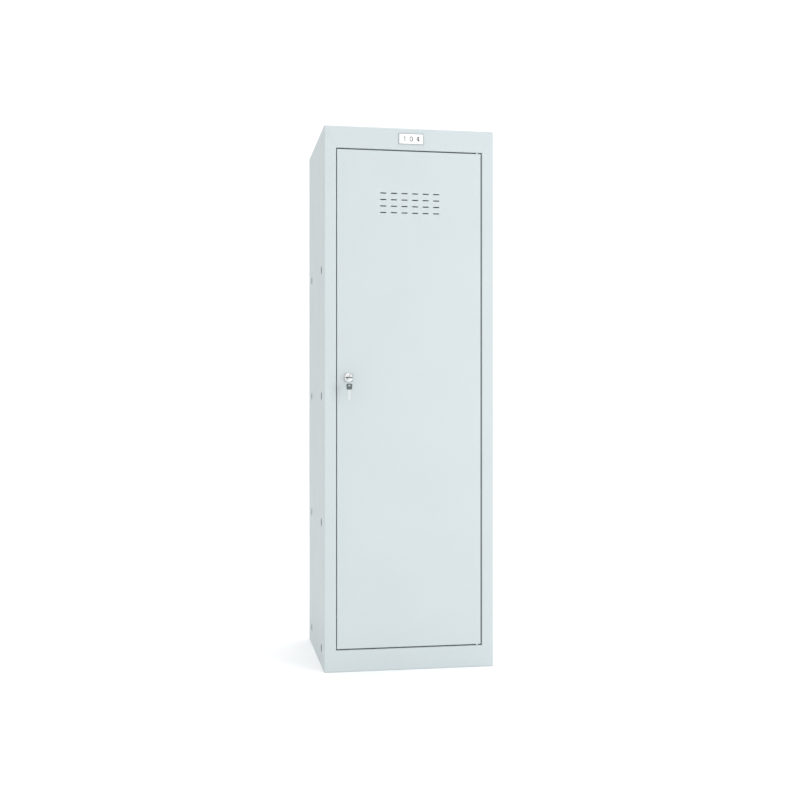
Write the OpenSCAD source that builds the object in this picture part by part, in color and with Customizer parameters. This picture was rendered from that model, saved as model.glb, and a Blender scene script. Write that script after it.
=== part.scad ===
// Single-door steel locker, assembled as on the bench: folded sheet carcass, hung door, cam lock,
// keys and interior fittings. X is width, -Y is the front, +Z is up. The origin is the middle of
// the footprint, on the surface that the locker stands on.

/* [Cabinet] */
// Height of the carcass
cabinet_h = 1200; // [1150:5:1250]
// Width of the carcass
cabinet_w = 380; // [370:5:400]
// Depth of the carcass, without lock and keys
cabinet_d = 380; // [360:5:420]
// Thickness of the steel sheet
sheet = 1; // [0.8:0.1:1.2]
// Outer radius of the folds
fold_r = 2; // [1.6:0.1:2.4]

/* [Front frame] */
// Width of the stiles beside the door
stile_w = 26; // [25:0.5:30]
// Height of the rails above and below the door
rail_h = 48; // [44:1:54]
// Depth of the folded returns around the door opening
return_d = 21; // [20.5:0.5:23]
// Width of the flange that the door closes against
stop_w = 12; // [10:0.5:12]
// Gap between two mitred frame faces
seam = 0.2; // [0.1:0.05:0.3]

/* [Door] */
// Gap at the hinge side, above and below the door
door_gap = 2.6; // [2.4:0.1:3]
// Gap at the lock side of the door
latch_gap = 1.6; // [1.2:0.1:2.6]
// Depth of the door pan
door_d = 18; // [17:0.5:18]
// Outer radius of the door's folded edges
door_fold_r = 1.6; // [1.4:0.1:2]
// Distance of the hinge axis from the door's edge
hinge_inset = 7.7; // [7:0.1:8.5]
// Distance of the hinge axis behind the door's face
hinge_depth = 6; // [5.5:0.1:6.5]
// Diameter of the hinge pins
pin_d = 4; // [3.5:0.1:4.5]

/* [Vent] */
// Slots in a row
vent_cols = 6; // [2:1:8]
// Rows of slots
vent_rows = 4; // [1:1:6]
// Length of a vent slot
vent_l = 13.9; // [10:0.1:16]
// Height of a vent slot
vent_h = 2.4; // [2:0.1:4]
// Spacing of the slots along a row
vent_pitch_x = 23.8; // [20:0.1:26]
// Spacing of the rows
vent_pitch_z = 14.3; // [10:0.1:16]
// Height of the lowest row
vent_z = 1012.4; // [1000:0.1:1030]

/* [Joining slots] */
// Slots in a column, from the floor up
slot_rows = 4; // [2:1:4]
// Height of the lowest slot's centre
slot_z = 40.1; // [38:0.1:44]
// Spacing of the slots up the side
slot_pitch = 283.2; // [270:0.1:288]
// Distance of each column from the front or the back
slot_inset = 69; // [50:1:80]
// Width of a joining slot
slot_w = 18; // [12:0.5:18]
// End-to-end length of a joining slot
slot_l = 20; // [19:0.5:24]

/* [Lock] */
// Distance of the lock from the door's free edge
lock_inset = 25.9; // [24:0.1:28]
// Height of the lock
lock_z = 647; // [600:1:700]
// Length of the cam from the lock's axis
cam_reach = 33; // [30:0.5:36]

/* [Interior] */
// Height of the hat shelf's upper face
shelf_top = 935; // [920:1:960]
// Depth of the shelf's front lip
shelf_lip = 20; // [15:1:22]

/* [Number plate] */
// Width of the plate
plate_w = 56; // [50:1:60]
// Height of the plate
plate_h = 24; // [20:1:28]
// Position of the plate's middle from the centre line
plate_x = 3; // [-20:1:20]

/* [Hidden] */
$fn = 48;

eps = 1; // how far a cutting tool runs past the faces it cuts
half_w = cabinet_w / 2;
half_d = cabinet_d / 2;
front_y = -half_d;
inner_x = half_w - sheet;          // inside face of a side sheet
back_y = half_d - 2 * sheet;       // inside face of the back panel

// Front frame and door opening
open_x = half_w - stile_w;         // half width of the opening
frame_rear_y = front_y + return_d; // rear face of the folded returns
lip_w = 12;                        // outward stiffening lip, also that of the door pan
rail_lip = 10;
weld_tab = 12;                     // part of a stile's return that is welded behind a rail
corner_r = 3;                      // rounding of the frame's four outer corners
rear_flange_w = 18;
pan_flange = 20;                   // upstand of the base pan and downstand of the top panel

// Door
door_left = latch_gap - open_x;
door_right = open_x - door_gap;
door_w = door_right - door_left;
door_mid = (door_left + door_right) / 2;
door_h = cabinet_h - 2 * (rail_h + door_gap);
door_z = rail_h + door_gap;
door_rear_y = front_y + door_d;
skin_in_y = front_y + sheet;       // inside face of the door skin

// Hinge
hinge_x = door_right - hinge_inset;
hinge_y = front_y + hinge_depth;
pin_r = pin_d / 2;
bush_clearance = 0.06;
bush_r = 3.6;
bush_collar_r = 4.8;
bush_collar_t = 1.5;
bush_l = 14;
pin_engage = 10;                   // how far a pin reaches into the door
pin_head_r = 3.5;
pin_head_t = 2;
bracket_t = 4;
bracket_w = 22;
bracket_d = 17;
hinge_plate_t = 2;                 // plate inside the door that holds a bush
hinge_plate_w = 34;
hinge_plate_d = 14;

// Lock, along Y
lock_x = door_left + lock_inset;
escutcheon_w = 19.6;
escutcheon_t = 1;
head_r = 9;
head_t = 2.4;
barrel_r = 7.75;
barrel_flats = 13.4;
plug_r = 5.5;
plug_clearance = 0.06;
reinforce_t = 1.5;
nut_t = 4;
nut_af = 22;
cam_t = 2;
cam_w = 14;
stud_w = 7;
cam_gap = 0.8;                     // cam to door stop when the lock is thrown
escutcheon_y = front_y - escutcheon_t;
head_y = escutcheon_y - head_t;
cam_y = frame_rear_y + cam_gap;
collar_t = 2.9;
collar_gap = 0.3;                  // plug's collar behind the barrel
collar_y = cam_y - collar_t;
barrel_end_y = collar_y - collar_gap;
cam_screw_r = 2;
washer_r = 5.5;
washer_bore_r = 2.1;
washer_t = 0.8;

// Keys, drawn hanging: top of the bow at z = 0, flat in the XZ plane
key_t = 2.6;
bow_h = 13;
bow_top_w = 12.8;
bow_bottom_w = 11;
bow_corner_r = 3;
bow_web = 2.8;                     // plastic above the hole
bow_hole_w = 5;
bow_hole_h = 3;
blade_w = 5.3;
blade_t = 1.8;
blade_l = 21.6;
tang_l = 5.6;
keyway_clearance = 0.3;
key_out = 22;                      // outer end of the inserted key's bow, from the door's face
key_y = front_y - key_out;

// Key ring: a circle in the YZ plane through both bows' holes
ring_r = 12;
ring_wire_r = 0.6;
ring_out = 6.45;                   // ring's centre beyond the inserted bow's end
ring_drop = 5.1;                   // ring's centre below the inserted bow
hole_shift = 1;                    // ring to the left in one hole, to the right in the other
ring_x = lock_x - hole_shift;
spare_x = ring_x - hole_shift;
ring_y = key_y - ring_out;
ring_z = lock_z - ring_drop;
spare_clearance = 0.25;
spare_top_z = ring_z - ring_r + ring_wire_r + spare_clearance + bow_web;

// Interior
runner_w = 20;
shelf_front_y = front_y + 32;      // clear of the door stop
shelf_fix_x = inner_x - runner_w / 2;
shelf_fix_inset = 28;
shelf_fix_y = [shelf_front_y + shelf_fix_inset, back_y - shelf_fix_inset];
hook_wire_r = 3;
hook_ball_r = 4.6;
double_hook_y = 10;
double_hook_fix = 24;
coat_hook_x = 95;
coat_hook_z = 865;
coat_hook_fix = 17;
coat_hook_w = 18;
hook_plate_t = 2;

// Fasteners
rivet_r = 1.95;
rivet_hole_r = 2;
rivet_head_r = 4;
rivet_head_t = 1.3;
rivet_dome_r = 7;
rivet_tail_r = 2.9;
rivet_tail_l = 2.4;
screw_r = 2.5;
recess_w = 1;                      // arms of a screw's cross recess
recess_floor = 0.45;               // height of the recess's floor, as a share of the head
back_rivet_x = half_w - rear_flange_w / 2;
back_rivet_end = 60;               // first and last rivet from the ends
back_rivet_steps = 4;
pan_rivet_x = 110;
pan_rivet_z = 11;
buffer_head_r = 4.5;
buffer_head_t = 1.6;
buffer_stem_r = 2;
buffer_barb_r = 3;

// Shelf, hooks and their fasteners
runner_end = 10;                   // runner ends short of the shelf's edges
shelf_hem = 8;
shelf_side_gap = 0.3;
screw_hole_r = screw_r + 0.1;
screw_head_d = 9;
screw_head_t = 3;
shelf_screw_l = 9;
screw_nut_af = 8;
screw_nut_t = 4;
double_hook_drop = 34;
double_hook_end = 16;              // plate beyond its screws, both ends together
double_hook_w = 20;
prong_start = 4;
prong_bend_r = 20;
prong_sweep = 75;
hook_stem_l = 16;

// Number plate
plate_rim_w = 1.6;
plate_rim_t = 1.6;
plate_face_t = 1.2;
plate_up = 0.8;                    // above the middle of the rail
digit_h = 11.4;
digit_w = 7.4;
digit_t = 0.3;
digit_stroke = 1.8;
digit_pitch = 15.4;

// Door stiffener
stiffener_end = 60;
stiffener_w = 40;
stiffener_d = 13;
stiffener_foot = 12;

// Lock and key details
reinforce_w = 40;
reinforce_h = 52;
head_chamfer = 0.8;
plug_proud = 0.2;
collar_r = 7;
stud_short = 0.2;
cam_screw_bore = 6;                // depth of its hole in the plug
cam_screw_engage = 5.5;
cam_screw_head_d = 7.5;
cam_screw_head_t = 2.4;
keyway_w = blade_w + 2 * keyway_clearance;
keyway_h = blade_t + 2 * keyway_clearance;
keyway_end_y = key_y + bow_h + blade_l + 2 * keyway_clearance;
groove_w = 1.2;
groove_t = 0.35;
tip_cut = 2.4;
notch_w = 2.4;
notch_count = 5;
notch_shallow = 0.4;
notch_step = 0.35;

white_grey = [0.83, 0.87, 0.88];
side_grey = [0.79, 0.83, 0.84];
zinc = [0.72, 0.73, 0.75];
chrome = [0.88, 0.89, 0.91];
dark_plastic = [0.36, 0.39, 0.40];
black_rubber = [0.12, 0.12, 0.13];

// ---------- shared shapes ----------

// Quarter ring joining two legs of a folded sheet: outer corner at the origin, legs along +X and +Y
module fold() {
  intersection() {
    difference() {
      translate([fold_r, fold_r]) circle(r = fold_r);
      translate([fold_r, fold_r]) circle(r = fold_r - sheet);
    }
    square(fold_r);
  }
}

// Extrudes a profile drawn in (Y, Z) along X, centred on the centre line
module along_x(length) {
  translate([-length / 2, 0, 0]) rotate([90, 0, 90]) linear_extrude(length) children();
}

// Extrudes a profile drawn in (X, Z) along Y, from y0 to y1
module along_y(y0, y1) {
  translate([0, y1, 0]) rotate([90, 0, 0]) linear_extrude(y1 - y0) children();
}

// Round bar along Y from y0 to y1
module bar_y(y0, y1, r) {
  translate([0, y0, 0]) rotate([-90, 0, 0]) cylinder(h = y1 - y0, r = r);
}

// Slot with round ends, long side along the first axis
module obround(length, width) {
  square([length - width, width], center = true);
  for (side = [-1, 1]) translate([side * (length - width) / 2, 0]) circle(d = width);
}

// Rectangle with round corners
module round_rect(w, h, r) {
  square([w - 2 * r, h], center = true);
  square([w, h - 2 * r], center = true);
  for (i = [-1, 1], j = [-1, 1]) translate([i * (w / 2 - r), j * (h / 2 - r)]) circle(r = r);
}

// Line with round ends between two points
module stroke(p, q, w) {
  d = q - p;
  translate(p) circle(d = w);
  translate(q) circle(d = w);
  translate(p) rotate(atan2(d[1], d[0])) translate([0, -w / 2]) square([norm(d), w]);
}

// Bar of round section bent round a circle in the XZ plane, from angle a0 over the given sweep
module bent_bar(bend_r, bar_r, a0, sweep) {
  rotate([90, 0, 0]) rotate([0, 0, a0]) {
    rotate_extrude(angle = sweep) translate([bend_r, 0]) circle(r = bar_r);
  }
}

// Pan-head screw down -Z with its seat at z = 0
module pan_screw(r, shank_l, head_d, head_h) {
  difference() {
    intersection() {
      cylinder(h = 2 * head_h, d = head_d);
      translate([0, 0, head_h - head_d]) sphere(r = head_d);
    }
    for (a = [0, 90]) {
      rotate(a) translate([-0.3 * head_d, -recess_w / 2, recess_floor * head_h]) {
        cube([0.6 * head_d, recess_w, head_h]);
      }
    }
  }
  translate([0, 0, -shank_l]) cylinder(h = shank_l + head_h / 4, r = r);
}

// Hexagon nut hanging below z = 0
module hex_nut(af, t, bore_r) {
  difference() {
    translate([0, 0, -t]) cylinder(h = t, d = af / cos(30), $fn = 6);
    translate([0, 0, -t - eps]) cylinder(h = t + 2 * eps, r = bore_r);
  }
}

// Blind rivet along Y: domed head behind y = 0, tail in front of the sheets that it grips
module rivet(grip) {
  intersection() {
    bar_y(0, 2 * rivet_head_t, rivet_head_r);
    translate([0, rivet_head_t - rivet_dome_r, 0]) sphere(r = rivet_dome_r);
  }
  bar_y(-grip, rivet_head_t / 4, rivet_r);
  bar_y(-grip - rivet_tail_l, -grip, rivet_tail_r);
}

// ---------- carcass ----------

// Height of the mitre seam over the distance x from the carcass's edge
function seam_z(x) = rail_h / stile_w * x;

// Side panel seen from above: outer front corner at the origin, depth along +Y
module side_profile(stop) {
  translate([0, fold_r]) square([sheet, cabinet_d - 2 * fold_r]);
  fold();
  translate([fold_r, 0]) square([stile_w - 2 * fold_r, sheet]);
  translate([stile_w, 0]) mirror([1, 0]) fold();
  translate([stile_w - sheet, fold_r]) square([sheet, return_d - 2 * fold_r]);
  if (stop) {
    translate([stile_w - sheet, return_d]) mirror([0, 1]) fold();
    translate([stile_w - sheet + fold_r, return_d - sheet]) square([stop_w + sheet - fold_r, sheet]);
  } else {
    translate([stile_w, return_d]) rotate(180) fold();
    translate([stile_w - lip_w, return_d - sheet]) square([lip_w - fold_r, sheet]);
  }
  translate([0, cabinet_d]) mirror([0, 1]) fold();
  translate([fold_r, cabinet_d - sheet]) square([rear_flange_w - fold_r, sheet]);
}

// What is cut from a stile's lower end so that the rail fits: mitre, return and corner rounding
module stile_end_cut() {
  along_y(-eps, sheet) {
    polygon([
      [fold_r, -eps],
      [stile_w + eps, -eps],
      [stile_w + eps, seam_z(stile_w + eps) + seam / 2],
      [fold_r, seam_z(fold_r) + seam / 2]
    ]);
  }
  translate([fold_r, sheet, -eps]) cube([stile_w, return_d, rail_h - weld_tab + eps]);
  translate([stile_w, sheet, -eps]) cube([stop_w + eps, return_d, rail_h + eps]);
  along_y(-eps, corner_r) difference() {
    translate([-eps, -eps]) square(corner_r + eps);
    translate([corner_r, corner_r]) circle(r = corner_r);
  }
}

// Side panel with its outer face at x = 0 and its front at y = 0
module side_panel(stop) {
  difference() {
    linear_extrude(cabinet_h) side_profile(stop);
    stile_end_cut();
    translate([0, 0, cabinet_h]) mirror([0, 0, 1]) stile_end_cut();
    for (y = [slot_inset, cabinet_d - slot_inset], i = [0 : slot_rows - 1]) {
      translate([0, y, slot_z + i * slot_pitch]) {
        along_x(4 * sheet) rotate(90) obround(slot_l, slot_w);
      }
    }
    for (z = back_rivet_heights()) {
      translate([rear_flange_w / 2, cabinet_d - 3 * sheet, z]) bar_y(0, 4 * sheet, rivet_hole_r);
    }
    if (stop) {
      for (z = buffer_heights()) {
        translate([stile_w + stop_w / 2, return_d, z]) bar_y(-2 * sheet, eps, buffer_stem_r);
      }
    }
  }
}

function back_rivet_heights() = [
  for (i = [0 : back_rivet_steps])
    back_rivet_end + i * (cabinet_h - 2 * back_rivet_end) / back_rivet_steps
];

module left_side_panel() {
  color(side_grey) translate([-half_w, front_y, 0]) side_panel(true);
}

module right_side_panel() {
  color(side_grey) mirror([1, 0, 0]) translate([-half_w, front_y, 0]) side_panel(false);
}

// Base pan in section: floor, front rail with its return, and rear upstand, front at y = 0
module pan_profile() {
  depth = cabinet_d - 2 * sheet;
  translate([fold_r, 0]) square([depth - 2 * fold_r, sheet]);
  fold();
  translate([0, fold_r]) square([sheet, rail_h - 2 * fold_r]);
  translate([0, rail_h]) mirror([0, 1]) fold();
  translate([fold_r, rail_h - sheet]) square([return_d - 2 * fold_r, sheet]);
  translate([return_d, rail_h]) rotate(180) fold();
  translate([return_d - sheet, rail_h - rail_lip]) square([sheet, rail_lip - fold_r]);
  translate([depth, 0]) mirror([1, 0]) fold();
  translate([depth - sheet, fold_r]) square([sheet, pan_flange - fold_r]);
}

// What is cut from a rail's left end so that the stile fits
module rail_end_cut() {
  along_y(-eps, fold_r) {
    polygon([
      [0, -eps],
      [fold_r, -eps],
      [fold_r, seam_z(fold_r) - seam / 2],
      [stile_w, rail_h - seam / 2],
      [stile_w, rail_h + eps],
      [0, rail_h + eps]
    ]);
  }
  translate([0, sheet, pan_flange]) cube([stile_w, return_d, rail_h]);
}

// Pan with the locker's floor at z = 0; turned over it is the top panel
module pan() {
  difference() {
    translate([0, front_y, 0]) along_x(2 * inner_x) pan_profile();
    for (side = [0, 1]) {
      mirror([side, 0, 0]) translate([-half_w, front_y, 0]) rail_end_cut();
    }
    for (side = [-1, 1]) {
      translate([side * pan_rivet_x, back_y, pan_rivet_z]) bar_y(-2 * sheet, sheet, rivet_hole_r);
    }
    translate([hinge_x, hinge_y, rail_h - 2 * sheet]) cylinder(h = 3 * sheet, r = pin_r);
  }
  for (side = [-1, 1]) {
    translate([side * (inner_x - sheet / 2) - sheet / 2, front_y + return_d, 0]) {
      cube([sheet, cabinet_d - return_d - 2 * sheet - fold_r, pan_flange]);
    }
  }
}

// Turns a part at the bottom over to the top
module at_top() {
  translate([0, 0, cabinet_h]) mirror([0, 0, 1]) children();
}

module base_pan() {
  color(white_grey) pan();
}

module top_panel() {
  color(white_grey) at_top() pan();
}

module back_panel() {
  color(side_grey) difference() {
    translate([fold_r - half_w, back_y, 0]) cube([2 * (half_w - fold_r), sheet, cabinet_h]);
    for (side = [-1, 1]) {
      for (z = back_rivet_heights()) {
        translate([side * back_rivet_x, back_y, z]) bar_y(-eps, sheet + eps, rivet_hole_r);
      }
      for (z = [pan_rivet_z, cabinet_h - pan_rivet_z]) {
        translate([side * pan_rivet_x, back_y, z]) bar_y(-eps, sheet + eps, rivet_hole_r);
      }
      for (dz = [-1, 1]) {
        translate([side * coat_hook_x, back_y, coat_hook_z + dz * coat_hook_fix]) {
          bar_y(-eps, sheet + eps, rivet_hole_r);
        }
      }
    }
  }
}

module back_rivets() {
  color(zinc) for (side = [-1, 1]) {
    for (z = back_rivet_heights()) {
      translate([side * back_rivet_x, half_d, z]) rivet(2 * sheet);
    }
    for (z = [pan_rivet_z, cabinet_h - pan_rivet_z]) {
      translate([side * pan_rivet_x, back_y + sheet, z]) rivet(2 * sheet);
    }
  }
}

// Rubber buffers in the stile's door stop
function buffer_heights() = [for (part = [0.12, 0.36, 0.64, 0.88]) part * cabinet_h];

module door_buffers() {
  color(black_rubber) for (z = buffer_heights()) {
    translate([-open_x + stop_w / 2, frame_rear_y, z]) {
      bar_y(-sheet - buffer_head_t, -sheet, buffer_head_r);
      bar_y(-sheet, 0, buffer_stem_r);
      bar_y(0, buffer_head_t, buffer_barb_r);
    }
  }
}

// ---------- hat shelf and hooks ----------

module shelf_holes() {
  for (x = [-shelf_fix_x, shelf_fix_x], y = shelf_fix_y) {
    translate([x, y, shelf_top - 4 * sheet]) cylinder(h = 6 * sheet, r = screw_hole_r);
  }
}

// Angle on the left side sheet that carries the shelf
module left_runner() {
  length = back_y - runner_end - shelf_front_y - runner_end;
  difference() {
    translate([-inner_x, shelf_front_y + runner_end, shelf_top - sheet]) {
      translate([0, 0, -runner_w]) cube([sheet, length, runner_w]);
      translate([0, 0, -sheet]) cube([runner_w, length, sheet]);
    }
    shelf_holes();
  }
}

module left_shelf_runner() {
  color(side_grey) left_runner();
}

module right_shelf_runner() {
  color(side_grey) mirror([1, 0, 0]) left_runner();
}

// Shelf in section, top of the front edge at the origin
module shelf_profile() {
  depth = back_y - shelf_front_y;
  translate([fold_r, -sheet]) square([depth - 2 * fold_r, sheet]);
  mirror([0, 1]) fold();
  translate([0, fold_r - shelf_lip]) square([sheet, shelf_lip - 2 * fold_r]);
  translate([0, -shelf_lip]) fold();
  translate([fold_r, -shelf_lip]) square([shelf_hem - fold_r, sheet]);
  translate([depth, 0]) rotate(180) fold();
  translate([depth - sheet, -shelf_lip]) square([sheet, shelf_lip - fold_r]);
}

module hat_shelf() {
  color(white_grey) difference() {
    translate([0, shelf_front_y, shelf_top]) along_x(2 * (inner_x - shelf_side_gap)) shelf_profile();
    shelf_holes();
    for (side = [-1, 1]) {
      translate([side * double_hook_fix, double_hook_y, shelf_top - 2 * sheet]) {
        cylinder(h = 3 * sheet, r = screw_hole_r);
      }
    }
  }
}

module shelf_screws() {
  color(zinc) for (x = [-shelf_fix_x, shelf_fix_x], y = shelf_fix_y) {
    translate([x, y, shelf_top]) pan_screw(screw_r, shelf_screw_l, screw_head_d, screw_head_t);
  }
}

module shelf_nuts() {
  color(zinc) for (x = [-shelf_fix_x, shelf_fix_x], y = shelf_fix_y) {
    translate([x, y, shelf_top - 2 * sheet]) hex_nut(screw_nut_af, screw_nut_t, screw_r);
  }
}

// Two prongs on one stem under the shelf
module double_coat_hook() {
  plate_z = shelf_top - sheet - hook_plate_t;
  color(zinc) translate([0, double_hook_y, plate_z]) {
    difference() {
      linear_extrude(hook_plate_t) obround(2 * double_hook_fix + double_hook_end, double_hook_w);
      for (side = [-1, 1]) {
        translate([side * double_hook_fix, 0, -eps]) {
          cylinder(h = hook_plate_t + 2 * eps, r = screw_hole_r);
        }
      }
    }
    translate([0, 0, -double_hook_drop]) {
      cylinder(h = double_hook_drop + hook_plate_t / 2, r = hook_wire_r);
      sphere(r = 2 * hook_wire_r);
      rotate([0, 90, 0]) cylinder(h = 2 * prong_start, r = hook_wire_r, center = true);
      for (side = [0, 1]) {
        mirror([side, 0, 0]) translate([prong_start, 0, prong_bend_r]) {
          bent_bar(prong_bend_r, hook_wire_r, 270, prong_sweep);
          translate(prong_bend_r * [sin(prong_sweep), 0, -cos(prong_sweep)]) sphere(r = hook_ball_r);
        }
      }
    }
  }
}

module double_hook_screws() {
  color(zinc) for (side = [-1, 1]) {
    translate([side * double_hook_fix, double_hook_y, shelf_top]) {
      pan_screw(screw_r, shelf_screw_l, screw_head_d, screw_head_t);
    }
  }
}

module double_hook_nuts() {
  color(zinc) for (side = [-1, 1]) {
    translate([side * double_hook_fix, double_hook_y, shelf_top - sheet - hook_plate_t]) {
      hex_nut(screw_nut_af, screw_nut_t, screw_r);
    }
  }
}

// Single hook on the back panel, its plate's rear face at y = 0
module coat_hook() {
  difference() {
    along_y(-hook_plate_t, 0) round_rect(coat_hook_w, 2 * coat_hook_fix + coat_hook_w, coat_hook_w / 3);
    for (dz = [-1, 1]) {
      translate([0, 0, dz * coat_hook_fix]) bar_y(-hook_plate_t - eps, eps, rivet_hole_r);
    }
  }
  bar_y(-hook_stem_l, -hook_plate_t / 2, hook_wire_r);
  translate([0, -hook_stem_l, prong_bend_r]) rotate(-90) {
    bent_bar(prong_bend_r, hook_wire_r, 270, prong_sweep);
    translate(prong_bend_r * [sin(prong_sweep), 0, -cos(prong_sweep)]) sphere(r = hook_ball_r);
  }
}

module left_coat_hook() {
  color(zinc) translate([-coat_hook_x, back_y, coat_hook_z]) coat_hook();
}

module right_coat_hook() {
  color(zinc) translate([coat_hook_x, back_y, coat_hook_z]) coat_hook();
}

module coat_hook_rivets() {
  color(zinc) for (x = [-coat_hook_x, coat_hook_x], dz = [-1, 1]) {
    translate([x, back_y + sheet, coat_hook_z + dz * coat_hook_fix]) rivet(sheet + hook_plate_t);
  }
}

// ---------- hinge, frame side ----------

module hinge_bracket() {
  difference() {
    translate([open_x - bracket_w, front_y + fold_r, rail_h - sheet - bracket_t]) {
      cube([bracket_w, bracket_d, bracket_t]);
    }
    translate([hinge_x, hinge_y, 0]) cylinder(h = rail_h, r = pin_r);
  }
}

module hinge_pin() {
  translate([hinge_x, hinge_y, rail_h - sheet - bracket_t]) {
    cylinder(h = bracket_t + sheet + door_gap + pin_engage, r = pin_r);
    translate([0, 0, -pin_head_t]) cylinder(h = pin_head_t, r = pin_head_r);
  }
}

module top_hinge_bracket() {
  color(zinc) at_top() hinge_bracket();
}

module bottom_hinge_bracket() {
  color(zinc) hinge_bracket();
}

module top_hinge_pin() {
  color(chrome) at_top() hinge_pin();
}

module bottom_hinge_pin() {
  color(chrome) hinge_pin();
}

// ---------- number plate ----------

module at_plate() {
  translate([plate_x, front_y, cabinet_h - rail_h / 2 + plate_up]) children();
}

module number_plate_frame() {
  color([0.62, 0.64, 0.65]) at_plate() along_y(-plate_rim_t, 0) difference() {
    round_rect(plate_w, plate_h, plate_rim_w);
    square([plate_w - 2 * plate_rim_w, plate_h - 2 * plate_rim_w], center = true);
  }
}

module number_plate() {
  color("white") at_plate() along_y(-plate_face_t, 0) {
    square([plate_w - 2 * plate_rim_w, plate_h - 2 * plate_rim_w], center = true);
  }
}

// Locker number 104
module number_digits() {
  h = digit_h / 2;
  w = digit_w / 2;
  bar = digit_stroke;
  stem = w / 3 - bar / 2;
  flag = stem - bar;
  color([0.82, 0.28, 0.33]) at_plate() along_y(-plate_face_t - digit_t, -plate_face_t) {
    translate([-digit_pitch, 0]) {
      translate([stem, -h]) square([bar, digit_h]);
      polygon([[stem + bar / 2, h], [flag, h - bar], [flag, h - 2 * bar], [stem + bar / 2, h - bar]]);
    }
    difference() {
      rotate(90) obround(digit_h, digit_w);
      rotate(90) obround(digit_h - 2 * bar, digit_w - 2 * bar);
    }
    translate([digit_pitch, 0]) {
      translate([stem, -h]) square([bar, digit_h]);
      translate([-w, -h / 2]) square([digit_w, bar]);
      polygon([[-w, -h / 4], [bar - w, -h / 4], [stem + bar / 2, h], [stem - bar / 2, h]]);
    }
  }
}

// ---------- door ----------

// Rectangle from the origin whose two corners on the X axis are round
module front_round(w, d, r) {
  translate([0, r]) square([w, d - r]);
  translate([r, 0]) square([w - 2 * r, r]);
  for (x = [r, w - r]) translate([x, r]) circle(r = r);
}

// Block standing on z = 0 with the edges of its front face round; the front is at y = 0
module soft_block(w, d, h, r) {
  intersection() {
    translate([-w / 2, 0, 0]) linear_extrude(h) front_round(w, d, r);
    along_x(w) mirror([1, -1]) front_round(h, d, r);
  }
}

module at_lock() {
  translate([lock_x, 0, lock_z]) children();
}

// Section of the lock barrel: a circle with two flats that stop it turning in the door
module double_d(r, flats) {
  intersection() {
    circle(r = r);
    square([flats, 3 * r], center = true);
  }
}

module door_skin() {
  color(white_grey) difference() {
    union() {
      translate([door_mid, front_y, door_z]) difference() {
        soft_block(door_w, door_d, door_h, door_fold_r);
        translate([0, sheet, sheet]) {
          soft_block(door_w - 2 * sheet, door_d, door_h - 2 * sheet, door_fold_r - sheet);
        }
      }
      along_y(door_rear_y - sheet, door_rear_y) translate([door_mid, door_z + door_h / 2]) difference() {
        square([door_w, door_h], center = true);
        square([door_w - 2 * lip_w, door_h - 2 * lip_w], center = true);
      }
    }
    for (i = [0 : vent_cols - 1], j = [0 : vent_rows - 1]) {
      translate([(i - (vent_cols - 1) / 2) * vent_pitch_x, 0, vent_z + j * vent_pitch_z]) {
        along_y(front_y - eps, skin_in_y + eps) obround(vent_l, vent_h);
      }
    }
    at_lock() along_y(front_y - eps, skin_in_y + eps) double_d(barrel_r, barrel_flats);
    for (z = [door_z, door_z + door_h]) {
      translate([hinge_x, hinge_y, z - 2 * sheet]) cylinder(h = 4 * sheet, r = bush_r);
    }
  }
}

// Top-hat channel welded up the middle of the door, below the vent
module door_stiffener() {
  color(side_grey) translate([0, skin_in_y, door_z + stiffener_end]) {
    linear_extrude(vent_z - stiffener_end / 2 - door_z - stiffener_end) {
      translate([-stiffener_w / 2, stiffener_d - sheet]) square([stiffener_w, sheet]);
      for (side = [0, 1]) mirror([side, 0]) {
        translate([stiffener_w / 2 - sheet, 0]) square([sheet, stiffener_d]);
        translate([stiffener_w / 2 - sheet, 0]) square([stiffener_foot + sheet, sheet]);
      }
    }
  }
}

module hinge_plate() {
  difference() {
    translate([door_right - sheet - hinge_plate_w, front_y + door_fold_r, door_z + sheet]) {
      cube([hinge_plate_w, hinge_plate_d, hinge_plate_t]);
    }
    translate([hinge_x, hinge_y, door_z]) cylinder(h = 2 * sheet + hinge_plate_t, r = bush_r);
  }
}

// Blind bush: the door's weight stands on the tip of the bottom pin
module hinge_bush() {
  translate([hinge_x, hinge_y, door_z]) difference() {
    union() {
      cylinder(h = bush_l, r = bush_r);
      translate([0, 0, sheet + hinge_plate_t]) cylinder(h = bush_collar_t, r = bush_collar_r);
    }
    translate([0, 0, -eps]) cylinder(h = pin_engage + bush_clearance + eps, r = pin_r + bush_clearance);
  }
}

module top_hinge_plate() {
  color(zinc) at_top() hinge_plate();
}

module bottom_hinge_plate() {
  color(zinc) hinge_plate();
}

module top_hinge_bush() {
  color([0.9, 0.9, 0.86]) at_top() hinge_bush();
}

module bottom_hinge_bush() {
  color([0.9, 0.9, 0.86]) hinge_bush();
}

// ---------- lock ----------

module lock_reinforcement() {
  color(zinc) at_lock() along_y(skin_in_y, skin_in_y + reinforce_t) difference() {
    square([reinforce_w, reinforce_h], center = true);
    double_d(barrel_r, barrel_flats);
  }
}

module lock_escutcheon() {
  color([0.55, 0.58, 0.59]) at_lock() along_y(escutcheon_y, front_y) difference() {
    round_rect(escutcheon_w, escutcheon_w, escutcheon_t);
    double_d(barrel_r, barrel_flats);
  }
}

module lock_body() {
  color(chrome) at_lock() difference() {
    union() {
      translate([0, head_y, 0]) rotate([-90, 0, 0]) {
        cylinder(h = head_chamfer, r1 = head_r - head_chamfer, r2 = head_r);
      }
      bar_y(head_y + head_chamfer, escutcheon_y, head_r);
      along_y(escutcheon_y, barrel_end_y) double_d(barrel_r, barrel_flats);
    }
    bar_y(head_y - eps, barrel_end_y + eps, plug_r + plug_clearance);
  }
}

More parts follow.
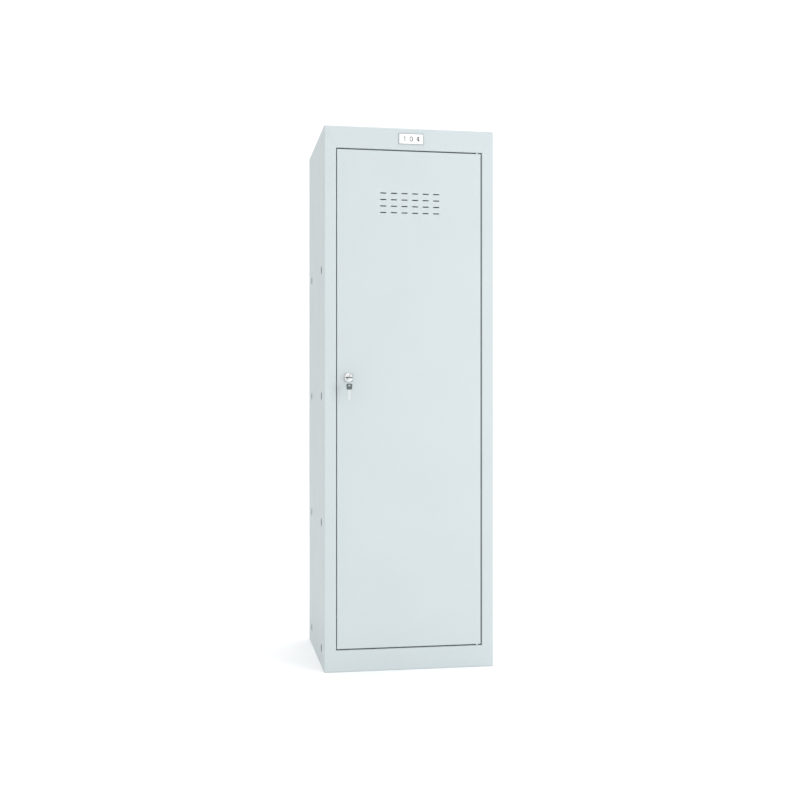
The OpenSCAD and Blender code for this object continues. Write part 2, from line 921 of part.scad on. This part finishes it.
module lock_nut() {
  color(zinc) at_lock() translate([0, skin_in_y + reinforce_t, 0]) rotate([90, 0, 0]) {
    hex_nut(nut_af, nut_t, barrel_r);
  }
}

module lock_plug() {
  color(chrome) at_lock() difference() {
    union() {
      bar_y(head_y - plug_proud, cam_y, plug_r);
      bar_y(collar_y, cam_y, collar_r);
      along_y(cam_y, cam_y + cam_t - stud_short) square(stud_w, center = true);
    }
    translate([-keyway_w / 2, head_y - eps, -keyway_h / 2]) {
      cube([keyway_w, keyway_end_y - head_y + eps, keyway_h]);
    }
    bar_y(cam_y - cam_screw_bore, cam_y + cam_t, cam_screw_r);
  }
}

// The cam hangs down when the lock is open
module lock_cam() {
  color(zinc) at_lock() along_y(cam_y, cam_y + cam_t) difference() {
    stroke([0, 0], [0, cam_w / 2 - cam_reach], cam_w);
    square(stud_w, center = true);
  }
}

module cam_washer() {
  color(zinc) at_lock() translate([0, cam_y + cam_t, 0]) difference() {
    bar_y(0, washer_t, washer_r);
    bar_y(-eps, washer_t + eps, washer_bore_r);
  }
}

module cam_screw() {
  color(zinc) at_lock() translate([0, cam_y + cam_t + washer_t, 0]) rotate([-90, 0, 0]) {
    pan_screw(cam_screw_r, washer_t + cam_t + cam_screw_engage, cam_screw_head_d, cam_screw_head_t);
  }
}

// ---------- keys ----------

// Plastic head of a key, with the hole for the ring and the pocket for the blade's tang
module bow_shape() {
  difference() {
    along_y(-key_t / 2, key_t / 2) difference() {
      intersection() {
        translate([0, -bow_h / 2]) round_rect(bow_top_w, bow_h, bow_corner_r);
        polygon([
          [-bow_top_w / 2, eps],
          [bow_top_w / 2, eps],
          [bow_top_w / 2, -bow_h / 3],
          [bow_bottom_w / 2, -bow_h - eps],
          [-bow_bottom_w / 2, -bow_h - eps],
          [-bow_top_w / 2, -bow_h / 3]
        ]);
      }
      translate([0, -bow_web - bow_hole_h / 2]) obround(bow_hole_w, bow_hole_h);
    }
    translate([-blade_w / 2, -blade_t / 2, -bow_h - eps]) cube([blade_w, blade_t, tang_l + eps]);
  }
}

// Steel blade with its tang, grooves, notches and pointed tip
module blade_shape() {
  tip_z = -bow_h - blade_l;
  difference() {
    translate([-blade_w / 2, -blade_t / 2, tip_z]) cube([blade_w, blade_t, blade_l + tang_l]);
    for (side = [-1, 1]) {
      translate([-groove_w / 2, side * blade_t / 2 - groove_t, tip_z - eps]) {
        cube([groove_w, 2 * groove_t, blade_l - groove_w]);
      }
      translate([side * blade_w / 2, 0, tip_z]) {
        rotate([0, 45, 0]) cube([tip_cut, 2 * blade_t, tip_cut], center = true);
      }
    }
    for (i = [0 : notch_count - 1]) {
      translate([blade_w / 2 + notch_w / sqrt(2) - notch_depth(i), 0, tip_z + notch_w * (2 + i)]) {
        rotate([0, 45, 0]) cube([notch_w, 2 * blade_t, notch_w], center = true);
      }
    }
  }
}

// Depth of the key's notches, repeating in threes
function notch_depth(i) = notch_shallow + notch_step * ((2 * i) % 3);

// A key turned level, with its blade in the plug
module in_lock() {
  translate([lock_x, key_y, lock_z]) rotate([90, 0, 0]) children();
}

// A key hanging from the bottom of the ring
module on_ring() {
  translate([spare_x, ring_y, spare_top_z]) children();
}

module key_blade() {
  color(chrome) in_lock() blade_shape();
}

module key_bow() {
  color(dark_plastic) in_lock() bow_shape();
}

module key_ring() {
  color(chrome) translate([ring_x, ring_y, ring_z]) rotate([0, 90, 0]) {
    rotate_extrude() translate([ring_r, 0]) circle(r = ring_wire_r);
  }
}

module spare_key_blade() {
  color(chrome) on_ring() blade_shape();
}

module spare_key_bow() {
  color(dark_plastic) on_ring() bow_shape();
}

left_side_panel();
right_side_panel();
top_panel();
base_pan();
back_panel();
back_rivets();
left_shelf_runner();
right_shelf_runner();
hat_shelf();
shelf_screws();
shelf_nuts();
double_coat_hook();
double_hook_screws();
double_hook_nuts();
left_coat_hook();
right_coat_hook();
coat_hook_rivets();
top_hinge_bracket();
bottom_hinge_bracket();
top_hinge_pin();
bottom_hinge_pin();
door_buffers();
number_plate_frame();
number_plate();
number_digits();
door_skin();
door_stiffener();
lock_reinforcement();
top_hinge_plate();
bottom_hinge_plate();
top_hinge_bush();
bottom_hinge_bush();
lock_escutcheon();
lock_body();
lock_nut();
lock_plug();
lock_cam();
cam_washer();
cam_screw();
key_blade();
key_bow();
key_ring();
spare_key_blade();
spare_key_bow();
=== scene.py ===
"""Looks for the single-door steel locker: powder-coated sheet, chrome cam lock, keys and fittings.

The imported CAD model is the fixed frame. Object coordinates are metres in that frame, so the textures
below are sized in real millimetres. X is width, -Y the front, +Z up.
"""

import math

import bmesh
import bpy
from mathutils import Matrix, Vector


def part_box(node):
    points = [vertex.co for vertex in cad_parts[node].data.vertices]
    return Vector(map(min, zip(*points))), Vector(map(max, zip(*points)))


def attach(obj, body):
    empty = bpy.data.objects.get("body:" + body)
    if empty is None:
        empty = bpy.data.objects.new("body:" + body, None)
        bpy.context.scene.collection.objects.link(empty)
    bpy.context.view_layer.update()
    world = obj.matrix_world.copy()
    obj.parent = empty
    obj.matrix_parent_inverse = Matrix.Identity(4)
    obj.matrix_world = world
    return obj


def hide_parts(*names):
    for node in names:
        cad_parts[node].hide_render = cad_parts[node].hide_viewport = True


MM = 0.001

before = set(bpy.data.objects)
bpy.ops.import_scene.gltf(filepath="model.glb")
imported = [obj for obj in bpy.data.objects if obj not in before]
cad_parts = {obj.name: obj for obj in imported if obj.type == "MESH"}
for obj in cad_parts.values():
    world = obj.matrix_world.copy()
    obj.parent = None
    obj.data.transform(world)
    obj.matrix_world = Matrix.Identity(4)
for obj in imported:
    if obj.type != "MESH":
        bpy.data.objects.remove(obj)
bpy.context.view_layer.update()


# ---------- node helpers ----------

NOISE_LOW = 0.3  # a noise's values nearly all lie between these two
NOISE_HIGH = 0.7
EDGE_START = 0.02  # how far a bevelled normal has to turn to count as an edge,
EDGE_FULL = 0.25  # and to count as a full one
UP_START = 0.6  # Z of the normal where a surface begins to face up
BEVEL_SAMPLES = 4
MIX_FIRST = 6  # sockets of the Mix node that hold colours
MIX_SECOND = 7
MIX_RESULT = 2


class Nodes:
    """A material's node tree with one Principled shader, and short ways to add to it."""

    def __init__(self, name):
        self.material = bpy.data.materials.new(name)
        self.material.use_nodes = True
        self.tree = self.material.node_tree
        self.tree.nodes.clear()
        self.shader = self.add("BsdfPrincipled")
        output = self.add("OutputMaterial")
        self.link(self.shader.outputs["BSDF"], output.inputs["Surface"])
        self.coordinates = self.add("TexCoord").outputs["Object"]
        self.last_bump = None

    def add(self, kind, **settings):
        node = self.tree.nodes.new("ShaderNode" + kind)
        for key, value in settings.items():
            setattr(node, key, value)
        return node

    def link(self, source, target):
        self.tree.links.new(source, target)

    def fill(self, socket, value):
        """Links a socket, or sets a plain value."""
        if isinstance(value, bpy.types.NodeSocket):
            self.link(value, socket)
        else:
            socket.default_value = value

    def fixed(self, **sockets):
        """Numbers and colours that are the same all over, straight on the shader's own sockets."""
        for key, value in sockets.items():
            self.shader.inputs[key.replace("_", " ")].default_value = value

    def stretched(self, scale):
        """Object coordinates, scaled along each axis."""
        mapping = self.add("Mapping")
        mapping.inputs["Scale"].default_value = scale
        self.link(self.coordinates, mapping.inputs["Vector"])
        return mapping.outputs["Vector"]

    def noise(self, size, detail=2.0, roughness=0.5, vector=None):
        """Noise whose features are about size metres across, from 0 to 1."""
        node = self.add("TexNoise")
        node.inputs["Scale"].default_value = 1.0 / size
        node.inputs["Detail"].default_value = detail
        node.inputs["Roughness"].default_value = roughness
        self.link(vector or self.coordinates, node.inputs["Vector"])
        return node.outputs["Fac"]

    def cells(self, size):
        """Distance to the nearest cell's middle, in cells of about size metres."""
        node = self.add("TexVoronoi")
        node.inputs["Scale"].default_value = 1.0 / size
        self.link(self.coordinates, node.inputs["Vector"])
        return node.outputs["Distance"]

    def spread(self, value, low, high, start=NOISE_LOW, stop=NOISE_HIGH):
        """Value taken from start..stop to low..high."""
        node = self.add("MapRange")
        node.inputs["From Min"].default_value = start
        node.inputs["From Max"].default_value = stop
        node.inputs["To Min"].default_value = low
        node.inputs["To Max"].default_value = high
        self.link(value, node.inputs["Value"])
        return node.outputs["Result"]

    def mix(self, amount, first, second):
        """Colour mix; first and second are colours or sockets."""
        node = self.add("Mix", data_type="RGBA")
        self.link(amount, node.inputs["Factor"])
        for key, value in ((MIX_FIRST, first), (MIX_SECOND, second)):
            self.fill(node.inputs[key], (*value, 1.0) if isinstance(value, tuple) else value)
        return node.outputs[MIX_RESULT]

    def maths(self, operation, first, second):
        node = self.add("Math", operation=operation)
        self.fill(node.inputs[0], first)
        self.fill(node.inputs[1], second)
        return node.outputs["Value"]

    def edges(self, radius):
        """1 along edges sharper than radius, 0 on the faces between."""
        bevel = self.add("Bevel", samples=BEVEL_SAMPLES)
        bevel.inputs["Radius"].default_value = radius
        geometry = self.add("NewGeometry")
        dot = self.add("VectorMath", operation="DOT_PRODUCT")
        self.link(bevel.outputs["Normal"], dot.inputs[0])
        self.link(geometry.outputs["Normal"], dot.inputs[1])
        turned = self.maths("SUBTRACT", 1.0, dot.outputs["Value"])
        return self.spread(turned, 0.0, 1.0, EDGE_START, EDGE_FULL)

    def rubbed_edges(self, radius, amount, tone, bare):
        """Tone, with its sharp edges taken towards bare."""
        return self.mix(self.maths("MULTIPLY", self.edges(radius), amount), tone, bare)

    def facing_up(self):
        """1 on surfaces that face straight up, 0 on walls."""
        geometry = self.add("NewGeometry")
        split = self.add("SeparateXYZ")
        self.link(geometry.outputs["Normal"], split.inputs["Vector"])
        return self.spread(split.outputs["Z"], 0.0, 1.0, UP_START, 1.0)

    def bump(self, height, depth):
        """Adds a bump of real depth in metres on top of those before it."""
        node = self.add("Bump")
        node.inputs["Distance"].default_value = depth
        node.inputs["Strength"].default_value = 1.0
        self.link(height, node.inputs["Height"])
        if self.last_bump:
            self.link(self.last_bump, node.inputs["Normal"])
        self.last_bump = node.outputs["Normal"]
        self.link(self.last_bump, self.shader.inputs["Normal"])

    def colour(self, source):
        self.link(source, self.shader.inputs["Base Color"])

    def roughness(self, source):
        self.link(source, self.shader.inputs["Roughness"])


def shade(colour, factor):
    return tuple(min(1.0, part * factor) for part in colour)


# ---------- materials ----------

PAINT = (0.476, 0.528, 0.544)
PAINT_DUST = (0.500, 0.515, 0.500)
KEY_PLASTIC = (0.078, 0.092, 0.094)
KEY_PLASTIC_WORN = (0.19, 0.21, 0.215)


def paint_tone(n, fold_wear_and_highlight, dust):
    """Paint colour: faint mottling and speckle, paler on the folds as a painted highlight, dust on top.
    """
    mottle = n.spread(n.noise(160 * MM, detail=3.0), 0.0, 1.0)
    speckle = n.spread(n.noise(1.1 * MM, detail=1.0), 0.0, 1.0)
    tone = n.mix(mottle, shade(PAINT, 0.985), shade(PAINT, 1.012))
    tone = n.mix(n.maths("MULTIPLY", speckle, 0.35), tone, shade(PAINT, 0.955))
    # painted highlight: the colour along the folds is taken paler, standing in for the light that the
    # bends catch
    tone = n.mix(n.maths("MULTIPLY", fold_wear_and_highlight, 0.55), tone, shade(PAINT, 1.16))
    return n.mix(dust, tone, PAINT_DUST)


def paint_gloss(n, fold_wear_and_highlight, dust):
    """Roughness of the paint: duller under dust, rubbed smoother on the folds."""
    gloss = n.spread(n.noise(70 * MM, detail=4.0), 0.48, 0.56)
    gloss = n.maths("ADD", gloss, n.maths("MULTIPLY", dust, 0.5))
    return n.maths("SUBTRACT", gloss, n.maths("MULTIPLY", fold_wear_and_highlight, 0.10))


def powder_coat(name):
    """Light grey powder coat: orange peel, faint mottling, a painted highlight and smoother paint on
    the folds, a little dust.
    """
    n = Nodes(name)
    # fold mask: a painted highlight in the colour, and really smoother paint in the roughness
    fold_wear_and_highlight = n.maths("MULTIPLY", n.edges(1.2 * MM), n.spread(n.noise(9 * MM, detail=4.0), 0.25, 1.0))
    patches = n.spread(n.noise(45 * MM, detail=5.0, roughness=0.62), 0.0, 0.30)
    dust = n.maths("MULTIPLY", n.facing_up(), patches)
    n.colour(paint_tone(n, fold_wear_and_highlight, dust))
    n.roughness(paint_gloss(n, fold_wear_and_highlight, dust))
    n.fixed(IOR=1.46, Specular_IOR_Level=0.30)
    n.bump(n.noise(190 * MM, detail=1.0), 0.16 * MM)
    n.bump(n.noise(1.9 * MM, detail=2.0, roughness=0.45), 0.018 * MM)
    return n.material


def zinc_plate(name):
    """Passivated zinc: cool silver with a straw and blue bloom, fine spangle and rubbed edges."""
    blue, straw = (0.58, 0.60, 0.65), (0.67, 0.66, 0.60)
    dark_spangle, bare = (0.47, 0.49, 0.52), (0.80, 0.81, 0.82)
    n = Nodes(name)
    tone = n.mix(n.spread(n.noise(12 * MM, detail=3.0), 0.0, 1.0), blue, straw)
    spangle = n.spread(n.cells(1.6 * MM), 0.0, 0.28, start=0.0, stop=0.9)
    tone = n.mix(spangle, tone, dark_spangle)
    n.colour(n.rubbed_edges(0.5 * MM, 0.6, tone, bare))
    n.roughness(n.spread(n.noise(4 * MM, detail=4.0), 0.26, 0.42))
    n.fixed(Metallic=1.0)
    n.bump(n.noise(0.7 * MM, detail=3.0), 0.012 * MM)
    return n.material


def ground_steel(name):
    """Pins of zinc-dusted steel: pale and dull, fine rings round the pin and a film of oil."""
    pale, oily = (0.88, 0.90, 0.90), (0.78, 0.80, 0.80)
    n = Nodes(name)
    rings = n.noise(0.6 * MM, vector=n.stretched((0.05, 0.05, 1.0)))
    n.colour(n.mix(n.spread(n.noise(5 * MM), 0.0, 1.0), pale, oily))
    n.roughness(n.spread(rings, 0.34, 0.50))
    n.fixed(Metallic=0.15, Anisotropic=0.3)
    n.bump(rings, 0.006 * MM)
    return n.material


def chrome_plate(name):
    """Bright chrome with faint smears and fine scratches, both a little rougher."""
    clean, smeared = (0.94, 0.95, 0.96), (0.88, 0.89, 0.90)
    n = Nodes(name)
    smear = n.spread(n.noise(6 * MM, detail=3.0), 0.0, 1.0)
    scratch = n.noise(0.9 * MM, vector=n.stretched((1.0, 0.25, 0.06)))
    n.colour(n.mix(smear, clean, smeared))
    dull = n.spread(smear, 0.05, 0.13, start=0.0, stop=1.0)
    n.roughness(n.maths("ADD", dull, n.spread(scratch, 0.0, 0.05)))
    n.fixed(Metallic=1.0)
    n.bump(scratch, 0.003 * MM)
    return n.material


def satin_nickel(name):
    """Grey plate under the lock, brushed along Z, darker in its scratches."""
    scratched, plain, bare = (0.33, 0.35, 0.36), (0.48, 0.51, 0.52), (0.66, 0.68, 0.69)
    n = Nodes(name)
    brush = n.noise(0.5 * MM, detail=3.0, vector=n.stretched((1.0, 1.0, 0.03)))
    tone = n.mix(n.spread(brush, 0.0, 1.0), scratched, plain)
    n.colour(n.rubbed_edges(0.4 * MM, 0.7, tone, bare))
    n.roughness(n.spread(brush, 0.30, 0.46))
    n.fixed(Metallic=0.85)
    n.bump(brush, 0.008 * MM)
    return n.material


def key_nickel(name):
    """Nickel-plated key steel: milling marks along the blade, brighter rubbed edges."""
    milled, plain, bare = (0.56, 0.58, 0.59), (0.67, 0.69, 0.70), (0.79, 0.80, 0.80)
    n = Nodes(name)
    milling = n.noise(0.4 * MM, vector=n.stretched((1.0, 0.5, 0.08)))
    tone = n.mix(n.spread(milling, 0.0, 1.0), milled, plain)
    n.colour(n.rubbed_edges(0.25 * MM, 0.6, tone, bare))
    n.roughness(n.spread(milling, 0.26, 0.40))
    n.fixed(Metallic=1.0)
    n.bump(milling, 0.006 * MM)
    return n.material


def key_bow_plastic(name):
    """Dark moulded plastic of the key bows: spark-eroded grain, paler where it is rubbed."""
    n = Nodes(name)
    patches = n.spread(n.noise(4 * MM, detail=3.0), 0.0, 1.0)
    tone = n.mix(patches, shade(KEY_PLASTIC, 0.88), shade(KEY_PLASTIC, 1.12))
    n.colour(n.rubbed_edges(0.4 * MM, 0.5, tone, KEY_PLASTIC_WORN))
    n.roughness(n.spread(n.noise(3 * MM, detail=3.0), 0.42, 0.58))
    n.fixed(Specular_IOR_Level=0.45)
    n.bump(n.noise(0.6 * MM), 0.015 * MM)
    return n.material


def nylon_bush(name):
    """Natural nylon: milky and slightly translucent, with greyer stains."""
    milky, stained = (0.82, 0.81, 0.75), (0.70, 0.69, 0.63)
    n = Nodes(name)
    n.colour(n.mix(n.spread(n.noise(3 * MM, detail=4.0), 0.0, 1.0), milky, stained))
    n.roughness(n.spread(n.noise(2 * MM), 0.34, 0.48))
    n.fixed(Subsurface_Weight=0.25, Subsurface_Scale=0.6 * MM, Specular_IOR_Level=0.5)
    n.bump(n.noise(0.9 * MM), 0.012 * MM)
    return n.material


def buffer_rubber(name):
    """Matt black rubber with bloom and a pebbled face."""
    black, bloomed = (0.020, 0.020, 0.022), (0.055, 0.055, 0.056)
    n = Nodes(name)
    bloom = n.spread(n.noise(2 * MM, detail=4.0), 0.0, 1.0)
    n.colour(n.mix(bloom, black, bloomed))
    n.roughness(n.spread(bloom, 0.62, 0.86, start=0.0, stop=1.0))
    n.fixed(Specular_IOR_Level=0.35)
    n.bump(n.cells(0.6 * MM), 0.02 * MM)
    return n.material


def brushed_rim(name):
    """Anodised frame of the number plate, brushed along X."""
    scratched, plain, bare = (0.30, 0.33, 0.34), (0.42, 0.45, 0.46), (0.58, 0.60, 0.61)
    n = Nodes(name)
    brush = n.noise(0.4 * MM, detail=3.0, vector=n.stretched((0.04, 1.0, 1.0)))
    tone = n.mix(n.spread(brush, 0.0, 1.0), scratched, plain)
    n.colour(n.rubbed_edges(0.3 * MM, 0.5, tone, bare))
    n.roughness(n.spread(brush, 0.28, 0.42))
    n.fixed(Metallic=0.45)
    n.bump(brush, 0.006 * MM)
    return n.material


def plate_enamel(name):
    """White plate face: smooth, with a trace of dust and a soft waviness."""
    clean, dusty = (0.93, 0.93, 0.93), (0.86, 0.86, 0.85)
    n = Nodes(name)
    dust = n.spread(n.noise(4 * MM, detail=5.0, roughness=0.6), 0.0, 0.5)
    n.colour(n.mix(dust, clean, dusty))
    n.roughness(n.spread(n.noise(5 * MM, detail=3.0), 0.20, 0.32))
    n.fixed(Specular_IOR_Level=0.5)
    n.bump(n.noise(6 * MM, detail=1.0), 0.02 * MM)
    return n.material


def digit_enamel(name):
    """Dark grey enamel of the digits, a little uneven in tone as screen print is."""
    dark, thin = (0.055, 0.060, 0.064), (0.095, 0.101, 0.106)
    n = Nodes(name)
    n.colour(n.mix(n.spread(n.noise(0.8 * MM, detail=3.0), 0.0, 1.0), dark, thin))
    n.roughness(n.spread(n.noise(1 * MM), 0.30, 0.44))
    n.fixed(Specular_IOR_Level=0.5)
    n.bump(n.noise(0.5 * MM), 0.01 * MM)
    return n.material


def make_materials():
    """One material for each slot of the record. The digits are grey, though their slot says red."""
    return {
        "front_paint": powder_coat("powder_coat_front"),
        "side_paint": powder_coat("powder_coat_side"),
        "zinc": zinc_plate("zinc_plate"),
        "pin_steel": ground_steel("ground_steel"),
        "chrome": chrome_plate("chrome_plate"),
        "escutcheon": satin_nickel("satin_nickel"),
        "key_steel": key_nickel("key_nickel"),
        "key_plastic": key_bow_plastic("key_plastic"),
        "nylon": nylon_bush("nylon"),
        "buffer_rubber": buffer_rubber("rubber"),
        "plate_rim": brushed_rim("plate_rim"),
        "plate_white": plate_enamel("plate_white"),
        "digit_red": digit_enamel("digit_enamel"),
    }


def dress_frame(materials):
    """Gives every CAD node the material of its slot."""
    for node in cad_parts.values():
        for place in node.material_slots:
            slot = place.material.name.split(".")[0]
            place.material = materials[slot]


# ---------- split ring ----------

RING_TURNS = 2
RING_WIRE = 0.28 * MM  # radius of the wire
RING_STEPS = 72  # along each turn
RING_SIDES = 12  # round the wire
RING_CROSSING = math.radians(24)  # stretch over which the wire changes sides


def ring_side(angle, offset):
    """X of the wire: one turn on each side, crossing over where the first turn ends."""
    past = (angle - 2 * math.pi + RING_CROSSING / 2) / RING_CROSSING
    ease = min(1.0, max(0.0, past))
    return offset * (2 * ease * ease * (3 - 2 * ease) - 1)


def wire_section(mesh, middle, outward):
    """One circle of the wire's vertices."""
    turns = (2 * math.pi * i / RING_SIDES for i in range(RING_SIDES))
    return [
        mesh.verts.new(middle + RING_WIRE * (outward * math.cos(turn) + Vector((math.sin(turn), 0, 0))))
        for turn in turns
    ]


def ring_sections(mesh, centre, radius, offset):
    """Circles of the wire along both turns, from the bottom of the ring."""
    sections = []
    steps = RING_STEPS * RING_TURNS
    for step in range(steps + 1):
        angle = 2 * math.pi * RING_TURNS * step / steps
        outward = Vector((0, math.cos(angle - math.pi / 2), math.sin(angle - math.pi / 2)))
        middle = centre + outward * radius + Vector((ring_side(angle, offset), 0, 0))
        sections.append(wire_section(mesh, middle, outward))
    return sections


def ring_mesh(centre, radius, offset):
    """The wound wire as one closed tube."""
    mesh = bmesh.new()
    sections = ring_sections(mesh, centre, radius, offset)
    for near, far in zip(sections, sections[1:]):
        for i in range(RING_SIDES):
            j = (i + 1) % RING_SIDES
            mesh.faces.new((near[i], near[j], far[j], far[i]))
    mesh.faces.new(sections[0][::-1])
    mesh.faces.new(sections[-1])
    bmesh.ops.recalc_face_normals(mesh, faces=mesh.faces)
    data = bpy.data.meshes.new("split_ring")
    mesh.to_mesh(data)
    mesh.free()
    for face in data.polygons:
        face.use_smooth = len(face.vertices) == 4  # all but the wire's two ends
    return data


def split_ring(materials):
    """Two-turn split ring, wound inside the section of the plain CAD ring."""
    low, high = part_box("key_ring")
    centre = (low + high) / 2
    section = (high.x - low.x) / 2
    radius = (high.z - low.z) / 2 - section
    data = ring_mesh(centre, radius, section - RING_WIRE)
    piece = bpy.data.objects.new("split_ring", data)
    bpy.context.scene.collection.objects.link(piece)
    data.materials.append(materials["key_steel"])
    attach(piece, "ring")
    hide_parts("key_ring")


# ---------- studio ----------

CAMERA_PLACE = (-0.4448, -2.7597, 0.6007)
CAMERA_YAW = 10.164  # degrees to the right of straight ahead
SENSOR_WIDTH = 36.0
LENS = 52.89
SHIFT_X = -0.0211
SHIFT_Y = -0.0016
CLIP_START = 0.05
CLIP_END = 200.0
FLOOR_RADIUS = 60.0
FLOOR_SEGMENTS = 96
FLOOR_DROP = 0.02 * MM  # keeps the floor's face off the locker's underside
WORLD_STRENGTH = 1.06


def make_camera():
    data = bpy.data.cameras.new("camera")
    data.sensor_width = SENSOR_WIDTH
    data.lens = LENS
    data.shift_x = SHIFT_X
    data.shift_y = SHIFT_Y
    data.clip_start = CLIP_START
    data.clip_end = CLIP_END
    camera = bpy.data.objects.new("camera", data)
    camera.location = CAMERA_PLACE
    camera.rotation_euler = (math.radians(90), 0, -math.radians(CAMERA_YAW))
    bpy.context.scene.collection.objects.link(camera)
    bpy.context.scene.camera = camera


def floor_material():
    """Pale matt floor, hardly uneven."""
    n = Nodes("floor")
    tone = n.spread(n.noise(0.9, detail=3.0), 0.0, 1.0)
    n.colour(n.mix(tone, (0.955, 0.958, 0.96), (0.965, 0.967, 0.968)))
    n.fixed(Roughness=0.9, Specular_IOR_Level=0.1)
    return n.material


def make_floor():
    """A wide disc of pale floor at the height that the locker stands on."""
    mesh = bmesh.new()
    bmesh.ops.create_circle(mesh, cap_ends=True, radius=FLOOR_RADIUS, segments=FLOOR_SEGMENTS)
    data = bpy.data.meshes.new("floor")
    mesh.to_mesh(data)
    mesh.free()
    floor = bpy.data.objects.new("floor", data)
    floor.location = (0, 0, -FLOOR_DROP)
    bpy.context.scene.collection.objects.link(floor)
    data.materials.append(floor_material())


def make_world():
    world = bpy.data.worlds.new("studio")
    bpy.context.scene.world = world
    world.use_nodes = True
    background = world.node_tree.nodes["Background"]
    background.inputs["Color"].default_value = (1.0, 1.0, 1.0, 1.0)
    background.inputs["Strength"].default_value = WORLD_STRENGTH


def soft_light(name, place, aim, size, watts):
    data = bpy.data.lights.new(name, "AREA")
    data.shape = "RECTANGLE"
    data.size, data.size_y = size
    data.energy = watts
    light = bpy.data.objects.new(name, data)
    light.location = place
    direction = Vector(aim) - Vector(place)
    light.rotation_euler = direction.to_track_quat("-Z", "Y").to_euler()
    light.visible_camera = False
    bpy.context.scene.collection.objects.link(light)


def make_studio():
    """White surroundings, a key light from the right of the front, and a top light."""
    make_world()
    make_floor()
    soft_light("key", place=(3.0, -4.0, 1.0), aim=(0.0, 0.0, 0.55), size=(2.0, 1.8), watts=94.0)
    soft_light("top", place=(0.0, 0.3, 4.2), aim=(0.0, 0.0, 0.0), size=(3.0, 3.0), watts=48.0)


bpy.context.scene.view_settings.view_transform = "Standard"
slots = make_materials()
dress_frame(slots)
split_ring(slots)
make_camera()
make_studio()
